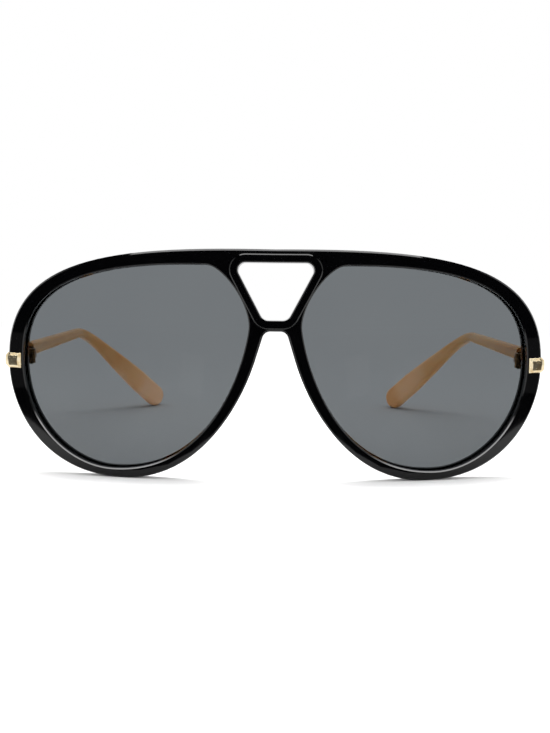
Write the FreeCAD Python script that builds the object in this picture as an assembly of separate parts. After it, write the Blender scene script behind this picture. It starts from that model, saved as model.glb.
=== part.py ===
import FreeCAD, Part
import math
import os
from FreeCAD import Placement, Rotation, Vector

# Oversized pilot sunglasses with a double bridge, standing open.
# Millimetres, +Z up from the surface it stands on, +Y from the front to the ear tips.
# Left and right are as seen from the front. The right side is modelled, and mirrored for the left.
# Outlines are given in front view. The front is curved, so they are carried onto its sphere along radii,
# as on a sheet that is milled flat and then curved.

# Front sheet
base_radius = 220.0
front_thickness = 4.0
front_edge_bevel = 0.5
back_edge_bevel = 0.5

# Lens shape in front view: a box, its four touching points, and the share of each side that a curve follows
lens_width = 62.8
lens_height = 57.1
lens_gap = 14.4
lens_top_out = 12.05
lens_bottom_out = 37.3
lens_outer_up = 30.25
lens_nose_up = 40.5
lens_brow_share = 0.885
lens_temple_up_share = 0.49
lens_temple_down_share = 0.629
lens_cheek_out_share = 0.47
lens_cheek_in_share = 0.836
lens_nose_down_share = 0.08
lens_nose_up_share = 0.402
lens_corner_share = 0.385

# Lens in its groove
lens_thickness = 1.8
lens_inset = 1.3
lens_seat = 0.7
lens_clearance = 0.1
aperture_bevel = 0.3

# Rim outline round the lenses
rim_bottom = 2.55
rim_outer = 4.35
rim_brow = 4.3
rim_outer_up = 31.55
rim_bottom_out = 41.95
brow_share = 0.558
temple_up_share = 0.924
temple_down_share = 0.412
cheek_out_share = 0.713
cheek_in_share = 0.565
nose_reach = 14.0

# Bridge: nose arch, keyhole and the raised ring round the keyhole
nose_arch_up = 39.3
nose_side_drop = 7.95
nose_side_inset = 1.8
nose_slope = 0.3
nose_arch_round = 2.2
upper_bar = 3.55
lower_bar = 2.9
keyhole_bottom_inset = 3.85
keyhole_flare = 4.5
keyhole_top_round = 2.1
keyhole_bottom_round = 2.4
ring_width = 2.3
ring_proud = 0.45
ring_bevel = 0.3

# Nose pads glued behind the rims
pad_length = 12.0
pad_depth = 4.2
pad_base = 1.7
pad_edge = 1.1
pad_end_share = 0.62
pad_up = 24.0
pad_lean = 26.0
pad_out = 11.2
pad_turns = (0, 45, 90, 135, 180)

# Gilt end pieces let into the rim
hinge_up = 31.7
cap_height = 4.2
cap_inlay = 1.0
cap_proud = 0.7
cap_reach = 3.9
cap_bevel = 0.8
cap_crown = 0.12
arm_inlay = 0.3
arm_proud = 1.4
arm_inner_round = 0.4
notch_clearance = 0.1

# Screw from behind that holds each end piece
anchor_shank = 1.2
anchor_head = 2.2
anchor_head_height = 0.7
anchor_head_bevel = 0.2
anchor_recess = 0.5
anchor_depth = 0.9
anchor_clearance = 0.05
anchor_slot_width = 0.4
anchor_slot_depth = 0.3

# Hinges
pivot_back = 10.5
knuckle_radius = 1.2
knuckle_clearance = 0.15
knuckle_gap = 0.05
middle_knuckle = 1.3
hinge_height = 4.0
leaf_thickness = 0.7
leaf_length = 4.0
leaf_web = 3.0
stop_gap = 0.1
hinge_shank = 1.4
hinge_head = 2.0
hinge_head_height = 0.5
hinge_tail = 0.3
hinge_fit = 0.04
plate_thickness = 1.0
plate_behind = 0.5
tongue_width = 1.2
tongue_height = 1.6
tongue_length = 8.0
tongue_fit = 0.05

# Temples
temple_thickness = 3.2
temple_height = 4.0
temple_waist = 3.1
temple_rise = 1.5
temple_round = 1.2
bend_x = 64.4
bend_y = 104.0
bend_up = 29.0
ear_bend_radius = 23.4
tip_x = 42.5
tip_y = 127.5
tip_width = 7.1
tip_taper = 33.0
tip_thinning = 0.45
corner_share = 0.42
core_width = 1.0
core_height = 1.3
core_fit = 0.05
core_stop = 16.0
bend_steps = 8
taper_steps = 3
tip_turns = (0, 25, 45, 60, 72)
corner_turns = (0, 30, 60, 90)

# Derived places of the front
lens_inner_x = lens_gap / 2
lens_outer_x = lens_inner_x + lens_width
lens_middle = rim_bottom + lens_height / 2
front_outer_x = lens_outer_x + rim_outer
brow_top = rim_bottom + lens_height + rim_brow
nose_arch_top = rim_bottom + nose_arch_up
sphere_centre = Vector(0, base_radius, lens_middle)

# How far the cutting blocks reach past what they trim
cut_reach = 9.0

# Outward and inward ends of the radial cuts, as shares of the radius
radial_outer = 1.01
radial_inner = 0.86

# A quarter circle's Bezier handle, as a share of its radius
quarter_handle = 4 / 3 * (math.sqrt(2) - 1)


def flat(x, z):
    """A front-view point on the face, as a point of the flat sheet that touches it at the middle."""
    up = z - lens_middle
    spread = base_radius / math.sqrt(base_radius**2 - x**2 - up**2)
    return Vector(x * spread, 0, lens_middle + up * spread)


def curve(*points):
    shape = Part.BezierCurve()
    shape.setPoles([flat(x, z) for x, z in points])
    return shape.toShape()


def rounded(points, radii):
    """Edges through the points with each inner corner rounded. None of the ends is."""
    places = [flat(x, z) for x, z in points]
    edges = []
    start = places[0]
    for i, radius in enumerate(radii):
        corner, after = places[i + 1], places[i + 2]
        back = (start - corner).normalize()
        on = (after - corner).normalize()
        half = back.getAngle(on) / 2
        run = radius / math.tan(half)
        middle = corner + (back + on).normalize() * (radius / math.sin(half) - radius)
        edges.append(Part.LineSegment(start, corner + back * run).toShape())
        edges.append(Part.Arc(corner + back * run, middle, corner + on * run).toShape())
        start = corner + on * run
    edges.append(Part.LineSegment(start, places[-1]).toShape())
    return edges


def mirrored(shape):
    return shape.mirror(Vector(0, 0, 0), Vector(1, 0, 0))


def closed(edges):
    return Part.Wire(Part.__sortEdges__(edges))


def both_sides(edges):
    return closed(edges + [mirrored(edge) for edge in edges])


def radial(wire):
    """The solid inside a flat outline, with its walls along radii of the sphere."""
    ends = [wire.scaled(share, sphere_centre) for share in (radial_outer, radial_inner)]
    return Part.makeLoft(ends, True, True)


def between(outer_radius, inner_radius):
    """The shell between two spheres round the front's centre."""
    return Part.makeSphere(outer_radius, sphere_centre).cut(Part.makeSphere(inner_radius, sphere_centre))


def face_at(shape, radius):
    """The largest face of a shape on the sphere of this radius."""
    on_sphere = [
        face for face in shape.Faces
        if isinstance(face.Surface, Part.Sphere) and abs(face.Surface.Radius - radius) < lens_clearance / 2
    ]
    return max(on_sphere, key=lambda face: face.Area)


def inner_edges(face):
    outer = face.OuterWire
    return [edge for wire in face.Wires if not wire.isSame(outer) for edge in wire.Edges]


def lens_loop(grow):
    """The visible lens outline, grown evenly all round. A curve's reach grows with it as on a circle."""
    reach = grow * quarter_handle
    top = (lens_inner_x + lens_top_out, rim_bottom + lens_height + grow)
    outer = (lens_outer_x + grow, rim_bottom + lens_outer_up)
    bottom = (lens_inner_x + lens_bottom_out, rim_bottom - grow)
    nose = (lens_inner_x - grow, rim_bottom + lens_nose_up)
    brow_reach = (lens_width - lens_top_out) * lens_brow_share + reach
    temple_up_reach = (lens_height - lens_outer_up) * lens_temple_up_share + reach
    temple_down_reach = lens_outer_up * lens_temple_down_share + reach
    cheek_out_reach = (lens_width - lens_bottom_out) * lens_cheek_out_share + reach
    cheek_in_reach = lens_bottom_out * lens_cheek_in_share + reach
    nose_down_reach = lens_nose_up * lens_nose_down_share + reach
    nose_up_reach = (lens_height - lens_nose_up) * lens_nose_up_share + reach
    corner_reach = lens_top_out * lens_corner_share + reach
    return closed([
        curve(top, (top[0] + brow_reach, top[1]), (outer[0], outer[1] + temple_up_reach), outer),
        curve(outer, (outer[0], outer[1] - temple_down_reach),
              (bottom[0] + cheek_out_reach, bottom[1]), bottom),
        curve(bottom, (bottom[0] - cheek_in_reach, bottom[1]), (nose[0], nose[1] - nose_down_reach), nose),
        curve(nose, (nose[0], nose[1] + nose_up_reach), (top[0] - corner_reach, top[1]), top),
    ])


def front_outline():
    brow = (0, brow_top)
    outer = (front_outer_x, rim_outer_up)
    # The radii draw in towards the back, so the bevelled edge's lowest line comes down to the surface
    lowest = -front_edge_bevel * lens_middle / base_radius
    bottom = (rim_bottom_out, lowest)
    side = (lens_inner_x - nose_side_inset, nose_arch_top - nose_side_drop)
    arch = (side[0] - nose_side_drop * nose_slope, nose_arch_top)
    slope = math.hypot(nose_slope, 1)
    below_side = (side[0] + nose_reach * nose_slope / slope, side[1] - nose_reach / slope)
    temple_up_reach = (brow_top - outer[1]) * temple_up_share
    temple_down_reach = outer[1] * temple_down_share
    cheek_out_reach = (front_outer_x - bottom[0]) * cheek_out_share
    cheek_in_reach = (bottom[0] - side[0]) * cheek_in_share
    edges = [
        curve(brow, (front_outer_x * brow_share, brow_top), (outer[0], outer[1] + temple_up_reach), outer),
        curve(outer, (outer[0], outer[1] - temple_down_reach), (bottom[0] + cheek_out_reach, lowest), bottom),
        curve(bottom, (bottom[0] - cheek_in_reach, lowest), below_side, side),
    ]
    edges += rounded([side, arch, (0, nose_arch_top)], [nose_arch_round])
    return both_sides(edges)


def keyhole_loop(grow):
    """The keyhole's outline, grown evenly. Its sides lean out to the brow."""
    top = brow_top - upper_bar
    bottom = nose_arch_top + lower_bar
    bottom_x = lens_inner_x - keyhole_bottom_inset
    top_x = lens_inner_x + keyhole_flare
    lean = math.atan2(top_x - bottom_x, top - bottom)
    top_miter = grow * math.tan((math.pi / 2 + lean) / 2)
    bottom_miter = grow * math.tan((math.pi / 2 - lean) / 2)
    points = [
        (0, top + grow),
        (top_x + top_miter, top + grow),
        (bottom_x + bottom_miter, bottom - grow),
        (0, bottom - grow),
    ]
    return both_sides(rounded(points, [keyhole_top_round + grow, keyhole_bottom_round + grow]))


def keyhole_ring():
    blank = radial(keyhole_loop(ring_width)).cut(radial(keyhole_loop(0)))
    top = base_radius + ring_proud
    ring = blank.common(between(top, base_radius - front_thickness / 2))
    return ring.makeChamfer(ring_bevel, face_at(ring, top).Edges)


def lens_groove():
    return radial(lens_loop(lens_seat)).common(
        between(base_radius - lens_inset + lens_clearance,
                base_radius - lens_inset - lens_thickness - lens_clearance))


def lens():
    return radial(lens_loop(lens_seat - lens_clearance)).common(
        between(base_radius - lens_inset, base_radius - lens_inset - lens_thickness))


# End piece frame: its X runs out along the front's face, its Y back along the radius at the rim's outer edge
edge_drop = hinge_up - lens_middle
edge_y = base_radius - math.sqrt(base_radius**2 - front_outer_x**2 - edge_drop**2)
edge_turn = math.asin(front_outer_x / base_radius)
edge_place = Placement(Vector(front_outer_x, edge_y, hinge_up),
                       Rotation(Vector(0, 0, 1), math.degrees(edge_turn)))
pivot_out = -arm_inlay - knuckle_clearance - knuckle_radius
pivot = edge_place.multVec(Vector(pivot_out, pivot_back, 0))


def at_edge(shape):
    placed = shape.copy()
    placed.Placement = edge_place
    return placed


def prism(points, low, high):
    """A straight block on a plan outline, between two heights."""
    wire = Part.makePolygon([Vector(x, y, low) for x, y in points + points[:1]])
    return Part.Face(wire).extrude(Vector(0, 0, high - low))


def end_piece():
    """A crowned, bevelled bar bent round the rim's outer edge."""
    half = cap_height / 2
    seat = cap_inlay
    start = -cap_reach
    thickness = cap_inlay + cap_proud
    top = seat - thickness
    bevel_edge = top + cap_bevel
    crown_edge = top + cap_crown
    crown_half = half - cap_bevel
    low = [Vector(start, crown_edge, -crown_half), Vector(start, bevel_edge, -half), Vector(start, seat, -half)]
    high = [Vector(start, seat, half), Vector(start, bevel_edge, half), Vector(start, crown_edge, crown_half)]
    corners = low + high
    section = closed(
        [Part.LineSegment(first, last).toShape() for first, last in zip(corners, corners[1:])]
        + [Part.Arc(high[-1], Vector(start, top, 0), low[0]).toShape()])
    corner = Vector(-arm_inlay - arm_inner_round, seat + arm_inner_round, 0)
    turn = math.sqrt(0.5) * arm_inner_round
    path = closed([
        Part.LineSegment(Vector(start, seat, 0), Vector(corner.x, seat, 0)).toShape(),
        Part.Arc(Vector(corner.x, seat, 0), corner + Vector(turn, -turn, 0),
                 Vector(-arm_inlay, corner.y, 0)).toShape(),
        Part.LineSegment(Vector(-arm_inlay, corner.y, 0), Vector(-arm_inlay, pivot_back, 0)).toShape(),
    ])
    bar = path.makePipeShell([section], True, False)
    mitre = prism([(start, top - cap_bevel), (start + cap_bevel * 2, top - cap_bevel), (start, bevel_edge)],
                  -cap_height, cap_height)
    hole = Part.makeCylinder(anchor_shank / 2 + anchor_clearance, anchor_depth + anchor_clearance,
                             Vector(-cap_reach / 2, seat, 0), Vector(0, -1, 0))
    return bar.cut(mitre).cut(hole)


def end_piece_notch():
    """Room in the rim for the end piece, its screw's shank and the screw's head."""
    half = cap_height / 2 + notch_clearance
    front_pocket = prism([(-cap_reach - notch_clearance, cap_inlay), (-cap_reach - notch_clearance, -cut_reach),
                          (cut_reach, -cut_reach), (cut_reach, cap_inlay)], -half, half)
    side_pocket = prism([(-arm_inlay, -cut_reach), (cut_reach, -cut_reach), (cut_reach, cut_reach),
                         (-arm_inlay, cut_reach)], -half, half)
    corner = prism([(-arm_inlay - arm_inner_round, cap_inlay), (-arm_inlay, cap_inlay),
                    (-arm_inlay, cap_inlay + arm_inner_round)], -half, half)
    shank = Part.makeCylinder(anchor_shank / 2 + anchor_clearance, cut_reach,
                              Vector(-cap_reach / 2, 0, 0), Vector(0, 1, 0))
    head = Part.makeCylinder(anchor_head / 2 + anchor_clearance, cut_reach,
                             Vector(-cap_reach / 2, front_thickness - anchor_recess, 0), Vector(0, 1, 0))
    return front_pocket.fuse([side_pocket, corner, shank, head])


def end_piece_screw():
    """A pan-head screw with a slot, in from the back of the rim."""
    seat = front_thickness - anchor_recess
    x = -cap_reach / 2
    head = Part.makeCylinder(anchor_head / 2, anchor_head_height, Vector(x, seat, 0), Vector(0, 1, 0))
    rim = [edge for edge in head.Edges if edge.Closed and edge.CenterOfMass.y > seat + anchor_head_height / 2]
    head = head.makeChamfer(anchor_head_bevel, rim)
    shank = Part.makeCylinder(anchor_shank / 2, seat - cap_inlay + anchor_depth,
                              Vector(x, seat, 0), Vector(0, -1, 0))
    slot_seat = seat + anchor_head_height - anchor_slot_depth
    slot = Part.makeBox(anchor_head * 2, anchor_slot_depth * 2, anchor_slot_width,
                        Vector(x - anchor_head, slot_seat, -anchor_slot_width / 2))
    return head.fuse(shank).cut(slot)


def hinge_bore():
    return Part.makeCylinder(hinge_shank / 2 + hinge_fit, hinge_height * 2,
                             Vector(pivot_out, pivot_back, -hinge_height))


def countersink(clearance):
    """The cone of the hinge screw's head, flush with the top knuckle."""
    return Part.makeCone(hinge_shank / 2 + clearance, hinge_head / 2 + clearance, hinge_head_height,
                         Vector(pivot_out, pivot_back, hinge_height / 2 - hinge_head_height))


def front_leaf():
    """Two knuckles on a plate that is brazed to the end piece's inner face."""
    half = hinge_height / 2
    inner = -arm_inlay
    plate_end = pivot_back - knuckle_radius - knuckle_clearance
    plate = prism([(inner, plate_end - leaf_length), (inner, plate_end), (inner - leaf_thickness, plate_end),
                   (inner - leaf_thickness, plate_end - leaf_length)], -half, half)
    web = [(inner, pivot_back), (pivot_out - knuckle_radius, pivot_back),
           (inner - leaf_thickness, pivot_back - leaf_web), (inner, pivot_back - leaf_web)]
    pieces = []
    for low, high in ((middle_knuckle / 2 + knuckle_gap, half), (-half, -middle_knuckle / 2 - knuckle_gap)):
        pieces.append(prism(web, low, high))
        pieces.append(Part.makeCylinder(knuckle_radius, high - low, Vector(pivot_out, pivot_back, low)))
    sweep = Part.makeCylinder(knuckle_radius + knuckle_clearance, middle_knuckle + knuckle_gap * 2,
                              Vector(pivot_out, pivot_back, -middle_knuckle / 2 - knuckle_gap))
    leaf = plate.cut(sweep).fuse(pieces).removeSplitter()
    return leaf.cut(hinge_bore()).cut(countersink(hinge_fit))


def hinge_screw():
    length = hinge_height - hinge_head_height + hinge_tail
    shank = Part.makeCylinder(hinge_shank / 2, length,
                              Vector(pivot_out, pivot_back, -hinge_height / 2 - hinge_tail))
    slot = Part.makeBox(hinge_head * 2, anchor_slot_width, anchor_slot_depth,
                        Vector(pivot_out - hinge_head, pivot_back - anchor_slot_width / 2,
                               hinge_height / 2 - anchor_slot_depth))
    return shank.fuse(countersink(0)).cut(slot)


# Temple path: a straight run from the hinge plate, one large arc at the ear, and a straight run to the tip
plate_front = pivot.y + knuckle_radius + plate_behind
temple_front = plate_front + plate_thickness
stop_outer = edge_place.multVec(Vector(arm_proud, pivot_back + stop_gap, 0))
stop_inner = edge_place.multVec(Vector(-arm_inlay, pivot_back + stop_gap, 0))
temple_start = Vector(stop_outer.x - temple_thickness / 2, temple_front, hinge_up + temple_rise)
bend = Vector(bend_x, bend_y, bend_up)
tip = Vector(tip_x, tip_y, tip_width / 2)
run_way = (bend - temple_start).normalize()
ear_way = (tip - bend).normalize()
ear_turn = run_way.getAngle(ear_way)
bend_run = ear_bend_radius * math.tan(ear_turn / 2)
bend_start = bend - run_way * bend_run
bend_end = bend + ear_way * bend_run
to_centre = (ear_way - run_way).normalize()
run_length = (bend_start - temple_start).Length
arc_length = ear_bend_radius * ear_turn
ear_length = (tip - bend_end).Length
path_length = run_length + arc_length + ear_length


def path_point(along):
    """Place and direction at a length along the temple's path."""
    if along <= run_length:
        return temple_start + run_way * along, run_way
    if along <= run_length + arc_length:
        turned = (along - run_length) / ear_bend_radius
        centre = bend + to_centre * (ear_bend_radius / math.cos(ear_turn / 2))
        inward = (centre - bend_start).normalize()
        place = centre + (run_way * math.sin(turned) - inward * math.cos(turned)) * ear_bend_radius
        return place, run_way * math.cos(turned) + inward * math.sin(turned)
    return bend_end + ear_way * (along - run_length - arc_length), ear_way


def temple_section(along, height, thickness, corner):
    """A box across the path, its thickness level and its corners rounded in short flats."""
    place, way = path_point(along)
    out = Vector(way.y, -way.x, 0).normalize()
    up = out.cross(way)
    points = []
    for x_side, z_side, start in ((1, 1, 0), (-1, 1, 90), (-1, -1, 180), (1, -1, 270)):
        for turn in corner_turns:
            angle = math.radians(start + turn)
            x = x_side * (thickness / 2 - corner) + corner * math.cos(angle)
            z = z_side * (height / 2 - corner) + corner * math.sin(angle)
            points.append(place + out * x + up * z)
    return Part.makePolygon(points + points[:1])


def temple_height_at(along):
    """Even to the ear, then swelling to the tip, whose end is a half circle."""
    waist_at = run_length + arc_length / 2
    if along <= run_length:
        return temple_height + (temple_waist - temple_height) * along / run_length
    if along <= waist_at:
        return temple_waist
    if along > path_length:
        return 2 * math.sqrt(max((tip_width / 2)**2 - (along - path_length)**2, 0))
    share = min((along - waist_at) / tip_taper, 1)
    return temple_waist + (tip_width - temple_waist) * share * share * (3 - 2 * share)


def bend_stations():
    return [run_length + arc_length * step / bend_steps for step in range(bend_steps + 1)]


def temple():
    """Sections from ahead of the hinge plate to the rounded end, cut square at the plate."""
    ear_end = run_length + arc_length
    stations = [-plate_thickness] + bend_stations()
    stations += [ear_end + ear_length * step / taper_steps for step in range(1, taper_steps)]
    stations += [path_length + tip_width / 2 * math.sin(math.radians(turn)) for turn in tip_turns]
    sections = []
    for along in stations:
        height = temple_height_at(along)
        past_tip = max(along - path_length, 0) / (tip_width / 2)
        thickness = temple_thickness * (1 - tip_thinning * past_tip**3)
        corner = min(temple_round, height * corner_share, thickness * corner_share)
        sections.append(temple_section(along, height, thickness, corner))
    whole = Part.makeLoft(sections, True, True)
    ahead = Part.makeBox(cut_reach * 2, cut_reach, cut_reach * 2,
                         temple_start - Vector(cut_reach, cut_reach, cut_reach))
    return whole.cut(ahead)


def bar_along(stations, width, height):
    """A square-edged bar along the temple's path."""
    sections = []
    for along in stations:
        place, way = path_point(along)
        out = Vector(way.y, -way.x, 0).normalize() * (width / 2)
        up = out.cross(way).normalize() * (height / 2)
        corners = [place - out - up, place + out - up, place + out + up, place - out + up]
        sections.append(Part.makePolygon(corners + corners[:1]))
    return Part.makeLoft(sections, True, True)


def wire_core(clearance):
    """The flat wire, from behind the hinge's tongue to short of the tip."""
    stations = [tongue_length] + bend_stations() + [path_length - core_stop]
    return bar_along(stations, core_width + clearance * 2, core_height + clearance * 2)


def tongue(clearance):
    """The hinge's flat spike in the temple."""
    return bar_along([0, tongue_length], tongue_width + clearance * 2, tongue_height + clearance * 2)


def temple_leaf():
    """Middle knuckle, stop shoulder and end plate in one, with the tongue behind."""
    outer = temple_start.x + temple_thickness / 2
    inner = temple_start.x - temple_thickness / 2
    low = hinge_up - middle_knuckle / 2 - leaf_thickness
    high = temple_start.z + tongue_height / 2
    plate = prism([(inner, plate_front), (outer, plate_front), (outer, temple_front), (inner, temple_front)],
                  low, high)
    upright = [edge for edge in plate.Edges if edge.BoundBox.YLength > plate_thickness / 2]
    plate = plate.makeFillet(temple_round / 2, upright)
    joined = temple_front - plate_thickness / 2
    shoulder = prism([(stop_inner.x, stop_inner.y), (stop_outer.x, stop_outer.y), (outer, joined),
                      (stop_inner.x, joined)], hinge_up - hinge_height / 2, hinge_up + hinge_height / 2)
    web = prism([(pivot.x - knuckle_radius, pivot.y), (pivot.x + knuckle_radius, pivot.y),
                 (pivot.x + knuckle_radius, joined), (pivot.x - knuckle_radius, joined)],
                hinge_up - middle_knuckle / 2, hinge_up + middle_knuckle / 2)
    base = Vector(pivot.x, pivot.y, hinge_up - middle_knuckle / 2)
    barrel = Part.makeCylinder(knuckle_radius, middle_knuckle, base)
    spike = tongue(0)
    leaf = plate.fuse([shoulder, web, barrel, spike]).removeSplitter()
    bore = Part.makeCylinder(hinge_shank / 2 + hinge_fit, hinge_height, base - Vector(0, 0, hinge_height / 2))
    return leaf.cut(bore)


def nose_pad():
    """A slim pad that stands back from the nose side of the rim."""
    back = base_radius - front_thickness
    spread = flat(pad_out, pad_up)
    way = (spread - sphere_centre).normalize()
    base = sphere_centre + way * back
    lean = Rotation(Vector(0, 1, 0), -pad_lean)
    turn = Rotation(Vector(0, -1, 0), way)
    place = Placement(base, turn.multiply(lean))

    def stadium(length, width, depth, shift):
        radius = width / 2
        points = []
        for end, start in ((1, 0), (-1, 180)):
            for turn in pad_turns:
                angle = math.radians(start + turn)
                points.append(Vector(shift + radius * math.cos(angle), depth,
                                     end * (length / 2 - radius) + radius * math.sin(angle)))
        return Part.makePolygon(points + points[:1])

    sections = [stadium(pad_length, pad_base, -pad_base, 0), stadium(pad_length, pad_base, 0, 0),
                stadium(pad_length * pad_end_share, pad_edge, pad_depth, (pad_base - pad_edge) / 2)]
    blank = Part.makeLoft(sections, True, True)
    blank.Placement = place
    return blank.common(Part.makeSphere(back, sphere_centre))


def front():
    sheet = radial(front_outline()).common(between(base_radius, base_radius - front_thickness))
    sheet = sheet.makeChamfer(front_edge_bevel, face_at(sheet, base_radius).OuterWire.Edges)
    sheet = sheet.makeChamfer(back_edge_bevel, face_at(sheet, base_radius - front_thickness).OuterWire.Edges)
    aperture = radial(lens_loop(0))
    sheet = sheet.cut([aperture, mirrored(aperture)])
    sheet = sheet.makeChamfer(aperture_bevel, inner_edges(face_at(sheet, base_radius)))
    sheet = sheet.cut(radial(keyhole_loop(0))).fuse(keyhole_ring())
    groove = lens_groove()
    notch = at_edge(end_piece_notch())
    # The faces are kept as spline surfaces, which hold their boundaries in an exchange file
    return sheet.cut([groove, mirrored(groove), notch, mirrored(notch)]).toNurbs()


temple_bare = temple().cut([tongue(tongue_fit), wire_core(core_fit)])
right_parts = {
    "lens": lens(),
    "nose_pad": nose_pad(),
    "end_piece": at_edge(end_piece()),
    "end_piece_screw": at_edge(end_piece_screw()),
    "hinge_front_leaf": at_edge(front_leaf()),
    "hinge_screw": at_edge(hinge_screw()),
    "hinge_temple_leaf": temple_leaf(),
    "temple": temple_bare,
    "temple_core": wire_core(0),
}
parts = {"frame_front": front()}
for name, shape in right_parts.items():
    parts[name + "_right"] = shape
    parts[name + "_left"] = mirrored(shape)

# The origin is under the middle of the whole, so everything moves forward by half the depth
depth_middle = (tip_y + tip_width / 2) / 2
os.makedirs("parts", exist_ok=True)
for name, shape in parts.items():
    placed = shape.copy()
    placed.translate(Vector(0, -depth_middle, 0))
    placed.exportStep("parts/" + name + ".step")
print("hinge axis at", pivot - Vector(0, depth_middle, 0))
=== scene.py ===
import math

import bmesh
import bpy
from mathutils import Matrix, Vector

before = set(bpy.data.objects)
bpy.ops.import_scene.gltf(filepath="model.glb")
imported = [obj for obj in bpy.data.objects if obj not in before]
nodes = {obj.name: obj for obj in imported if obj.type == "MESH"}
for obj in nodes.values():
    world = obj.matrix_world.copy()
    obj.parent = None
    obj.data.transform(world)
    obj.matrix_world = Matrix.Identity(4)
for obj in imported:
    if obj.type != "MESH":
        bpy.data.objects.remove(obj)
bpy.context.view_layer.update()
sides = ("left", "right")

# Front
# One sheet of black cellulose acetate, milled to shape, curved over a former and tumble polished.
# The raised ring round the keyhole and the bevels round the lenses are cut in the same sheet.
black_deep = "#020203"
black_warm = "#050506"
acetate_index = 1.48
polish_swirl_mm = 7.0
swirl_detail = 3.0
swirl_shine = (0.03, 0.09)
polish_grain_mm = 0.6
grain_detail = 2.0
grain_strength = 0.02
grain_depth_mm = 0.02


def linear(hex_colour):
    """A written sRGB colour as the linear values that a shader takes."""
    parts = [int(hex_colour[i:i + 2], 16) / 255 for i in (1, 3, 5)]
    return [p / 12.92 if p <= 0.04045 else ((p + 0.055) / 1.055) ** 2.4 for p in parts] + [1.0]


def metres(size_mm):
    """A size for a socket that takes metres."""
    return size_mm / 1000


def per_metre(size_mm):
    """A pattern's scale for features of this size."""
    return 1000 / size_mm


def add(tree, kind, sockets, **settings):
    """Adds a node with its settings. A socket takes a value, or another node's output as a link."""
    made = tree.nodes.new(kind)
    for name, value in settings.items():
        setattr(made, name, value)
    for socket, value in sockets.items():
        if isinstance(value, bpy.types.NodeSocket):
            tree.links.new(value, made.inputs[socket])
        else:
            made.inputs[socket].default_value = value
    return made


def finish_named(name):
    """An empty material, its tree and the object's own coordinates."""
    made = bpy.data.materials.new(name)
    made.use_nodes = True
    made.node_tree.nodes.clear()
    place = add(made.node_tree, "ShaderNodeTexCoord", {}).outputs["Object"]
    return made, made.node_tree, place


def dress(node_name, finish):
    """Puts a finish on a CAD node in place of its own."""
    slots = nodes[node_name].data.materials
    slots.clear()
    slots.append(finish)


# Polished acetate: deep black and mirror-like, with the faint swirls and grain that tumbling leaves
black_acetate, tree, place = finish_named("polished_black_acetate")
swirl = add(tree, "ShaderNodeTexNoise", {
    "Vector": place, "Scale": per_metre(polish_swirl_mm), "Detail": swirl_detail})
grain = add(tree, "ShaderNodeTexNoise", {
    "Vector": place, "Scale": per_metre(polish_grain_mm), "Detail": grain_detail})
tone = add(tree, "ShaderNodeValToRGB", {"Fac": swirl.outputs["Fac"]})
tone.color_ramp.elements[0].color = linear(black_deep)
tone.color_ramp.elements[1].color = linear(black_warm)
shine = add(tree, "ShaderNodeMapRange", {
    "Value": swirl.outputs["Fac"], "To Min": swirl_shine[0], "To Max": swirl_shine[1]})
ripple = add(tree, "ShaderNodeBump", {
    "Height": grain.outputs["Fac"], "Strength": grain_strength, "Distance": metres(grain_depth_mm)})
shader = add(tree, "ShaderNodeBsdfPrincipled", {
    "Base Color": tone.outputs["Color"], "Roughness": shine.outputs["Result"],
    "IOR": acetate_index, "Normal": ripple.outputs["Normal"]})
add(tree, "ShaderNodeOutputMaterial", {"Surface": shader.outputs["BSDF"]})
dress("frame_front", black_acetate)

# Lenses
# Neutral grey lenses cast in clear resin, dyed through and hard coated, snapped into the rims' grooves.
# They let through about a quarter of the light, evenly from brow to cheek. Their coating leaves them
# so little reflection, about half a percent at each face, that the index is set below the resin's own.
smoke_light = "#8b9093"
smoke_deep = "#868b8f"
dye_cloud_mm = 30.0
dye_detail = 1.0
coated_index = 1.15

# Dyed resin: clear and very smooth, its dye a shade uneven over a few centimetres
smoke_resin, tree, place = finish_named("dyed_grey_lens_resin")
cloud = add(tree, "ShaderNodeTexNoise", {
    "Vector": place, "Scale": per_metre(dye_cloud_mm), "Detail": dye_detail})
tone = add(tree, "ShaderNodeValToRGB", {"Fac": cloud.outputs["Fac"]})
tone.color_ramp.elements[0].color = linear(smoke_light)
tone.color_ramp.elements[1].color = linear(smoke_deep)
shader = add(tree, "ShaderNodeBsdfPrincipled", {
    "Base Color": tone.outputs["Color"], "Roughness": 0.0,
    "IOR": coated_index, "Transmission Weight": 1.0})
add(tree, "ShaderNodeOutputMaterial", {"Surface": shader.outputs["BSDF"]})
for side in sides:
    dress("lens_" + side, smoke_resin)

# Nose pads
# Small pads of the same black acetate, sawn from rod and glued behind the rims with solvent.
# They are buffed by hand, so they shine a little less than the front.
pad_black = "#0c0c0d"
buff_mark_mm = 0.9
buff_stretch = 0.25
buff_detail = 3.0
buff_shine = (0.12, 0.25)
buff_strength = 0.08
buff_depth_mm = 0.05

# Buffed acetate: black, with short soft marks from the felt wheel
buffed_acetate, tree, place = finish_named("buffed_black_acetate")
along_pad = add(tree, "ShaderNodeMapping", {"Vector": place, "Scale": (1.0, 1.0, buff_stretch)})
marks = add(tree, "ShaderNodeTexNoise", {
    "Vector": along_pad.outputs["Vector"], "Scale": per_metre(buff_mark_mm), "Detail": buff_detail})
shine = add(tree, "ShaderNodeMapRange", {
    "Value": marks.outputs["Fac"], "To Min": buff_shine[0], "To Max": buff_shine[1]})
ripple = add(tree, "ShaderNodeBump", {
    "Height": marks.outputs["Fac"], "Strength": buff_strength, "Distance": metres(buff_depth_mm)})
shader = add(tree, "ShaderNodeBsdfPrincipled", {
    "Base Color": linear(pad_black), "Roughness": shine.outputs["Result"],
    "IOR": acetate_index, "Normal": ripple.outputs["Normal"]})
add(tree, "ShaderNodeOutputMaterial", {"Surface": shader.outputs["BSDF"]})
for side in sides:
    dress("nose_pad_" + side, buffed_acetate)

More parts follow.
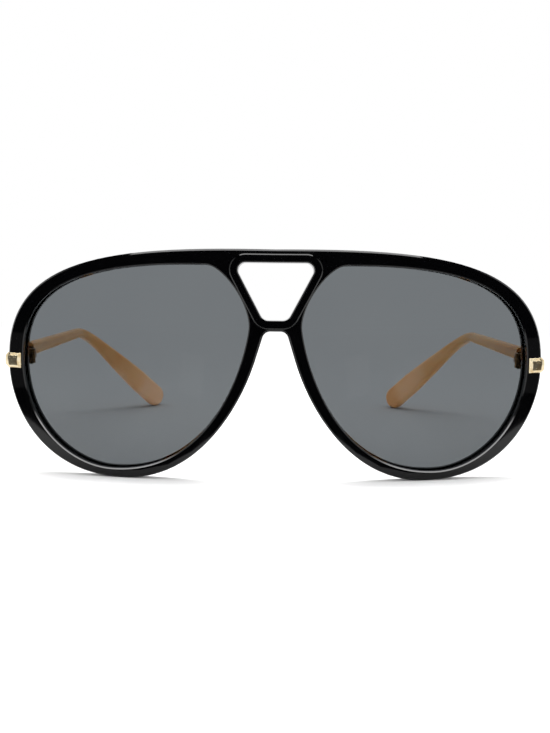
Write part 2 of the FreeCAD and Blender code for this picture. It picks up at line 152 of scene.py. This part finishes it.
# End pieces and their screws
# Bars of nickel silver bent round the rim's outer edge, polished and plated with pale gold.
# Each is let into the rim and held by one small steel screw from behind.
gilt_pale = "#f8e8c4"
gilt_worn = "#e2c592"
gilt_wear = (0.3, 0.55)
plating_haze_mm = 1.6
haze_detail = 3.0
haze_shine = (0.2, 0.12)
hairline_mm = 0.12
hairline_stretch = 0.08
hairline_detail = 2.0
hairline_strength = 0.06
hairline_depth_mm = 0.02
steel_bright = "#c9c5bb"
steel_oiled = "#8f8a80"
turning_mark_mm = 0.15
turning_detail = 2.0
turning_shine = (0.35, 0.2)

# Gold plate: pale and mirror-like, hazed a little by handling, with hairlines along the bar
gold_plate, tree, place = finish_named("pale_gold_plate")
haze = add(tree, "ShaderNodeTexNoise", {
    "Vector": place, "Scale": per_metre(plating_haze_mm), "Detail": haze_detail})
along_bar = add(tree, "ShaderNodeMapping", {
    "Vector": place, "Scale": (hairline_stretch, hairline_stretch, 1.0)})
hairlines = add(tree, "ShaderNodeTexNoise", {
    "Vector": along_bar.outputs["Vector"], "Scale": per_metre(hairline_mm), "Detail": hairline_detail})
tone = add(tree, "ShaderNodeValToRGB", {"Fac": haze.outputs["Fac"]})
for stop, share, colour in zip(tone.color_ramp.elements, gilt_wear, (gilt_worn, gilt_pale)):
    stop.position = share
    stop.color = linear(colour)
shine = add(tree, "ShaderNodeMapRange", {
    "Value": haze.outputs["Fac"], "To Min": haze_shine[0], "To Max": haze_shine[1]})
lines = add(tree, "ShaderNodeBump", {
    "Height": hairlines.outputs["Fac"], "Strength": hairline_strength,
    "Distance": metres(hairline_depth_mm)})
shader = add(tree, "ShaderNodeBsdfPrincipled", {
    "Base Color": tone.outputs["Color"], "Metallic": 1.0,
    "Roughness": shine.outputs["Result"], "Normal": lines.outputs["Normal"]})
add(tree, "ShaderNodeOutputMaterial", {"Surface": shader.outputs["BSDF"]})

# Turned steel: fine marks from the lathe and a film of oil in them
turned_steel, tree, place = finish_named("turned_steel")
turning = add(tree, "ShaderNodeTexNoise", {
    "Vector": place, "Scale": per_metre(turning_mark_mm), "Detail": turning_detail})
tone = add(tree, "ShaderNodeValToRGB", {"Fac": turning.outputs["Fac"]})
tone.color_ramp.elements[0].color = linear(steel_oiled)
tone.color_ramp.elements[1].color = linear(steel_bright)
shine = add(tree, "ShaderNodeMapRange", {
    "Value": turning.outputs["Fac"], "To Min": turning_shine[0], "To Max": turning_shine[1]})
shader = add(tree, "ShaderNodeBsdfPrincipled", {
    "Base Color": tone.outputs["Color"], "Metallic": 1.0, "Roughness": shine.outputs["Result"]})
add(tree, "ShaderNodeOutputMaterial", {"Surface": shader.outputs["BSDF"]})
for side in sides:
    dress("end_piece_" + side, gold_plate)
    dress("end_piece_screw_" + side, turned_steel)

# Hinges
# Three-knuckle hinges stamped from nickel silver, barrelled and dipped in bronze-coloured lacquer.
# One leaf is brazed to the end piece, the other is shot into the temple, and a steel screw is the pin.
bronze_lit = "#8c6c46"
bronze_dark = "#4a3521"
bronze_wear = (0.35, 0.7)
barrel_mark_mm = 0.5
barrel_detail = 3.0
barrel_shine = (0.4, 0.25)
barrel_strength = 0.15
barrel_depth_mm = 0.03

# Lacquered bronze: dark and satin, with the soft dents and worn high spots that barrelling leaves
lacquered_bronze, tree, place = finish_named("lacquered_bronze")
dents = add(tree, "ShaderNodeTexNoise", {
    "Vector": place, "Scale": per_metre(barrel_mark_mm), "Detail": barrel_detail})
tone = add(tree, "ShaderNodeValToRGB", {"Fac": dents.outputs["Fac"]})
for stop, share, colour in zip(tone.color_ramp.elements, bronze_wear, (bronze_dark, bronze_lit)):
    stop.position = share
    stop.color = linear(colour)
shine = add(tree, "ShaderNodeMapRange", {
    "Value": dents.outputs["Fac"], "To Min": barrel_shine[0], "To Max": barrel_shine[1]})
hollows = add(tree, "ShaderNodeBump", {
    "Height": dents.outputs["Fac"], "Strength": barrel_strength, "Distance": metres(barrel_depth_mm)})
shader = add(tree, "ShaderNodeBsdfPrincipled", {
    "Base Color": tone.outputs["Color"], "Metallic": 1.0,
    "Roughness": shine.outputs["Result"], "Normal": hollows.outputs["Normal"]})
add(tree, "ShaderNodeOutputMaterial", {"Surface": shader.outputs["BSDF"]})
for side in sides:
    dress("hinge_front_leaf_" + side, lacquered_bronze)
    dress("hinge_temple_leaf_" + side, lacquered_bronze)
    dress("hinge_screw_" + side, turned_steel)

# Temples and their cores
# Slim temples of honey acetate, heated, shot with a flat wire core and bent at the ear.
# Their polish is softer than the front's, and a little light goes through them at the thin tips.
# Their colour is darkened with painted shade from the hinges back, fading out before the tips.
honey_light = "#fbceaa"
honey_mid = "#f2bc8a"
honey_deep = "#e0a26a"
honey_spread = (0.3, 0.72)
honey_middle = 0.5
painted_hinge_shade = "#cdc5a2"
hinge_shade_start = 0.03
hinge_shade_end = 0.062
marble_mm = 14.0
marble_stretch = 0.3
marble_detail = 4.0
marble_swirl = 0.6
temple_shine = (0.16, 0.28)
temple_gloss = 0.1
glow_weight = 0.25
glow_colour = (1.0, 0.5, 0.25)
glow_depth_mm = 2.0
wire_light = "#bcb4a4"
wire_dark = "#8d8577"
wire_roughness = 0.35
drawing_line_mm = 0.1
drawing_stretch = 0.05
drawing_detail = 2.0

# A Mix node's sockets for colours, by number, because its numbers and vectors have the same names
mix_share, mix_first, mix_second, mix_result = 0, 6, 7, 2

# Honey acetate: clouds of lighter and deeper honey drawn out along the temple, under a soft polish,
# darkened by painted shade towards the hinges
honey_acetate, tree, place = finish_named("polished_honey_acetate")
drawn = add(tree, "ShaderNodeMapping", {"Vector": place, "Scale": (1.0, marble_stretch, 1.0)})
marble = add(tree, "ShaderNodeTexNoise", {
    "Vector": drawn.outputs["Vector"], "Scale": per_metre(marble_mm),
    "Detail": marble_detail, "Distortion": marble_swirl})
tone = add(tree, "ShaderNodeValToRGB", {"Fac": marble.outputs["Fac"]})
for stop, share, colour in zip(tone.color_ramp.elements, honey_spread, (honey_deep, honey_light)):
    stop.position = share
    stop.color = linear(colour)
tone.color_ramp.elements.new(honey_middle).color = linear(honey_mid)
# Painted shade: a darker, yellower colour multiplied over the temple from the hinges back, fading out
# before the tips
depth = add(tree, "ShaderNodeSeparateXYZ", {"Vector": place})
along = add(tree, "ShaderNodeMapRange", {
    "Value": depth.outputs["Y"], "From Min": hinge_shade_start, "From Max": hinge_shade_end})
hinge_shade_ramp = add(tree, "ShaderNodeValToRGB", {"Fac": along.outputs["Result"]})
hinge_shade_ramp.color_ramp.elements[0].color = linear(painted_hinge_shade)
hinge_shaded_tone = add(tree, "ShaderNodeMix", {
    mix_share: 1.0, mix_first: tone.outputs["Color"], mix_second: hinge_shade_ramp.outputs["Color"]},
    data_type="RGBA", blend_type="MULTIPLY")
grain = add(tree, "ShaderNodeTexNoise", {
    "Vector": place, "Scale": per_metre(polish_grain_mm), "Detail": grain_detail})
shine = add(tree, "ShaderNodeMapRange", {
    "Value": grain.outputs["Fac"], "To Min": temple_shine[0], "To Max": temple_shine[1]})
shader = add(tree, "ShaderNodeBsdfPrincipled", {
    "Base Color": hinge_shaded_tone.outputs[mix_result], "Roughness": shine.outputs["Result"],
    "IOR": acetate_index, "Specular IOR Level": temple_gloss, "Subsurface Weight": glow_weight,
    "Subsurface Radius": glow_colour, "Subsurface Scale": metres(glow_depth_mm)})
add(tree, "ShaderNodeOutputMaterial", {"Surface": shader.outputs["BSDF"]})

# Drawn wire: dull nickel silver with lines along its length
drawn_wire, tree, place = finish_named("drawn_nickel_silver")
along_wire = add(tree, "ShaderNodeMapping", {"Vector": place, "Scale": (1.0, drawing_stretch, 1.0)})
lines = add(tree, "ShaderNodeTexNoise", {
    "Vector": along_wire.outputs["Vector"], "Scale": per_metre(drawing_line_mm),
    "Detail": drawing_detail})
tone = add(tree, "ShaderNodeValToRGB", {"Fac": lines.outputs["Fac"]})
tone.color_ramp.elements[0].color = linear(wire_dark)
tone.color_ramp.elements[1].color = linear(wire_light)
shader = add(tree, "ShaderNodeBsdfPrincipled", {
    "Base Color": tone.outputs["Color"], "Metallic": 1.0, "Roughness": wire_roughness})
add(tree, "ShaderNodeOutputMaterial", {"Surface": shader.outputs["BSDF"]})
for side in sides:
    dress("temple_" + side, honey_acetate)
    dress("temple_core_" + side, drawn_wire)

# Floor
# A sweep of white paper, which keeps the shadows near the sunglasses and runs out to plain white behind.
# What it throws back on them, and what shows through the lenses, has a paper tone of its own.
# Reflections don't see its front part, so they show the dark studio in front there, as a black card
# would, and card_edge is where that part ends.
white = "#ffffff"
paper = "#e8e8e8"
paper_bounce = "#b6b6b6"
paper_through = "#939393"
paper_fleck_mm = 0.8
fleck_detail = 2.0
fleck_strength = 0.02
fleck_depth_mm = 0.1
through_lens = 0.68
behind_level = 0.9
fade_start = 0.1
fade_end = 0.3
card_edge = (
    (0.0, -0.13), (0.0245, -0.1), (0.028, -0.082), (0.0325, -0.0705), (0.039, -0.065),
    (0.0444, -0.063), (0.0585, -0.0641), (0.0744, -0.0716), (0.0982, -0.0851), (0.2, -0.14))
table_front = -1.2
table_back = 1.5
table_half_width = 1.5


def backdrop_level(tree, rays, mirrored):
    """The backdrop's strength: white to the camera, dimmer through a lens, as given in a reflection."""
    seen = add(tree, "ShaderNodeMath", {
        0: rays.outputs["Is Glossy Ray"], 1: mirrored}, operation="MULTIPLY")
    through = add(tree, "ShaderNodeMix", {
        "Factor": rays.outputs["Is Transmission Ray"], "A": seen.outputs["Value"], "B": through_lens})
    shown = add(tree, "ShaderNodeMath", {
        0: rays.outputs["Is Camera Ray"], 1: through.outputs["Result"]}, operation="ADD")
    return shown.outputs["Value"]


# White paper: matt, with the fine flecks of its fibres
white_paper, tree, place = finish_named("white_paper")
fleck = add(tree, "ShaderNodeTexNoise", {
    "Vector": place, "Scale": per_metre(paper_fleck_mm), "Detail": fleck_detail})
fibres = add(tree, "ShaderNodeBump", {
    "Height": fleck.outputs["Fac"], "Strength": fleck_strength, "Distance": metres(fleck_depth_mm)})
rays = add(tree, "ShaderNodeLightPath", {})
unseen = add(tree, "ShaderNodeMix", {
    mix_share: rays.outputs["Is Transmission Ray"],
    mix_first: linear(paper_bounce), mix_second: linear(paper_through)}, data_type="RGBA")
shade = add(tree, "ShaderNodeMix", {
    mix_share: rays.outputs["Is Camera Ray"],
    mix_first: unseen.outputs[mix_result], mix_second: linear(paper)}, data_type="RGBA")
near = add(tree, "ShaderNodeBsdfDiffuse", {
    "Color": shade.outputs[mix_result], "Normal": fibres.outputs["Normal"]})
far = add(tree, "ShaderNodeEmission", {
    "Color": linear(white), "Strength": backdrop_level(tree, rays, behind_level)})
depth = add(tree, "ShaderNodeSeparateXYZ", {"Vector": place})
fade = add(tree, "ShaderNodeMapRange", {
    "Value": depth.outputs["Y"], "From Min": fade_start, "From Max": fade_end},
    interpolation_type="SMOOTHSTEP")
sweep = add(tree, "ShaderNodeMixShader", {
    0: fade.outputs["Result"], 1: near.outputs["BSDF"], 2: far.outputs["Emission"]})
add(tree, "ShaderNodeOutputMaterial", {"Surface": sweep.outputs["Shader"]})

right_edge = [(table_half_width, card_edge[-1][1])] + list(card_edge[::-1])
edge = right_edge + [(-x, y) for x, y in right_edge[-2::-1]]
front_corners = [(-table_half_width, table_front), (table_half_width, table_front)]
back_corners = [(table_half_width, table_back), (-table_half_width, table_back)]
paper_only = bpy.data.collections.new("paper_only")
for name, outline in (("floor_front", front_corners + edge), ("floor_back", edge[::-1] + back_corners)):
    paper_sheet = bmesh.new()
    paper_sheet.faces.new([paper_sheet.verts.new((x, y, 0)) for x, y in outline])
    mesh = bpy.data.meshes.new(name)
    paper_sheet.to_mesh(mesh)
    paper_sheet.free()
    floor = bpy.data.objects.new(name, mesh)
    bpy.context.scene.collection.objects.link(floor)
    mesh.materials.append(white_paper)
    floor.visible_glossy = name == "floor_back"
    paper_only.objects.link(floor)

# Reflector cards
# A grey card beside each gilt face and a small white one before it, which only reflections show.
# Each has its name, its offset from the gilt face and its width, both in metres, and its brightness.
cap_place = (0.0715, -0.0545, 0.0317)
cards = (("outer", (0.022, -0.018, -0.0038), 0.02, 0.1),
         ("inner", (-0.0388, -0.0448, -0.0082), 0.016, 1.0))

for card_name, offset, width, level in cards:
    card_finish, tree, place = finish_named(card_name + "_card")
    glow = add(tree, "ShaderNodeEmission", {"Color": linear(white), "Strength": level})
    add(tree, "ShaderNodeOutputMaterial", {"Surface": glow.outputs["Emission"]})
    for side, sign in zip(sides, (-1, 1)):
        centre = Vector([cap + by for cap, by in zip(cap_place, offset)])
        facing = Vector(offset).to_track_quat("Z", "Y").to_matrix().to_4x4()
        sheet = bmesh.new()
        on_side = Matrix.Scale(sign, 4, (1, 0, 0)) @ Matrix.Translation(centre) @ facing
        bmesh.ops.create_grid(sheet, x_segments=1, y_segments=1, size=width / 2, matrix=on_side)
        mesh = bpy.data.meshes.new(card_name + "_card_" + side)
        sheet.to_mesh(mesh)
        sheet.free()
        card = bpy.data.objects.new(mesh.name, mesh)
        bpy.context.scene.collection.objects.link(card)
        mesh.materials.append(card_finish)
        card.visible_camera = False
        card.visible_diffuse = False
        card.visible_transmission = False
        card.visible_shadow = False

# Light tent
# White cloth round the table, which fills all sides with even light. Reflections show it low and plain
# white behind, and as a bright band in front, above the camera, which draws the lines along the bevels.
# Each pair of numbers is where it fades in, as the Y or Z part of a direction of length 1.
fill_level = 1.25
tent_level = 8.0
behind_side = (-0.4, -0.05)
behind_top = (0.75, 0.55)
band_foot = (0.34, 0.46)
band_head = (0.95, 0.88)
band_side = (-0.11, -0.22)

world = bpy.data.worlds.new("studio")
bpy.context.scene.world = world
world.use_nodes = True
tree = world.node_tree
tree.nodes.clear()
rays = add(tree, "ShaderNodeLightPath", {})
direction = add(tree, "ShaderNodeTexCoord", {}).outputs["Generated"]
way = add(tree, "ShaderNodeSeparateXYZ", {"Vector": direction})
behind = add(tree, "ShaderNodeMapRange", {
    "Value": way.outputs["Y"], "From Min": behind_side[0], "From Max": behind_side[1],
    "To Max": behind_level})
low = add(tree, "ShaderNodeMapRange", {
    "Value": way.outputs["Z"], "From Min": behind_top[0], "From Max": behind_top[1]})
back = add(tree, "ShaderNodeMath", {
    0: behind.outputs["Result"], 1: low.outputs["Result"]}, operation="MULTIPLY")
foot = add(tree, "ShaderNodeMapRange", {
    "Value": way.outputs["Z"], "From Min": band_foot[0], "From Max": band_foot[1],
    "To Max": tent_level})
head = add(tree, "ShaderNodeMapRange", {
    "Value": way.outputs["Z"], "From Min": band_head[0], "From Max": band_head[1]})
before = add(tree, "ShaderNodeMapRange", {
    "Value": way.outputs["Y"], "From Min": band_side[0], "From Max": band_side[1]})
band = add(tree, "ShaderNodeMath", {
    0: foot.outputs["Result"], 1: head.outputs["Result"]}, operation="MULTIPLY")
tent = add(tree, "ShaderNodeMath", {
    0: band.outputs["Value"], 1: before.outputs["Result"], 2: back.outputs["Value"]},
    operation="MULTIPLY_ADD")
shown = backdrop_level(tree, rays, tent.outputs["Value"])
fill = add(tree, "ShaderNodeMath", {
    0: rays.outputs["Is Diffuse Ray"], 1: fill_level, 2: shown}, operation="MULTIPLY_ADD")
cloth = add(tree, "ShaderNodeBackground", {"Color": linear(white), "Strength": fill.outputs["Value"]})
add(tree, "ShaderNodeOutputWorld", {"Surface": cloth.outputs["Background"]})
# Its strength differs between kinds of rays, so it isn't sampled as a lamp
world.cycles.sampling_method = "NONE"

# Lamps and camera
# A soft box overhead, behind the front, lights the sunglasses and draws the line along the brow.
# A weak one above the camera shows only in reflections, and a third lights only the paper.
# The camera stands where the photograph was taken, just above the brow, looking slightly down.
# Each lamp has its name, its width and depth, its place in metres and its watts.
lamps = (("overhead", (0.5, 0.17), (0.0, 0.065, 0.62), 1.1),
         ("front", (1.6, 0.25), (0.0, -0.6, 0.32), 0.2),
         ("table", (0.8, 0.16), (0.0, 0.03, 0.62), 4.6))
lamp_target = (0.0, 0.0, 0.03)
camera_place = (0.0, -0.48555, 0.0922)
camera_pitch = 8.1
camera_roll = 0.6
focal_pixels = 1568.7
image_height = 733
sensor_mm = 36.0

for name, size, spot, watts in lamps:
    lamp = bpy.data.lights.new(name, "AREA")
    lamp.shape = "RECTANGLE"
    lamp.size, lamp.size_y = size
    lamp.energy = watts
    holder = bpy.data.objects.new(name, lamp)
    bpy.context.scene.collection.objects.link(holder)
    aim = Vector(lamp_target) - Vector(spot)
    holder.matrix_world = Matrix.Translation(spot) @ aim.to_track_quat("-Z", "Y").to_matrix().to_4x4()
    holder.visible_diffuse = name != "front"
    if name == "table":
        holder.visible_glossy = False
        holder.visible_transmission = False
        holder.light_linking.receiver_collection = paper_only

camera = bpy.data.objects.new("camera", bpy.data.cameras.new("camera"))
bpy.context.scene.collection.objects.link(camera)
camera.data.sensor_width = sensor_mm
camera.data.lens = focal_pixels / image_height * sensor_mm
camera.matrix_world = (Matrix.Translation(camera_place)
                       @ Matrix.Rotation(math.radians(90 - camera_pitch), 4, "X")
                       @ Matrix.Rotation(math.radians(camera_roll), 4, "Z"))
bpy.context.scene.camera = camera
bpy.context.scene.view_settings.view_transform = "Standard"
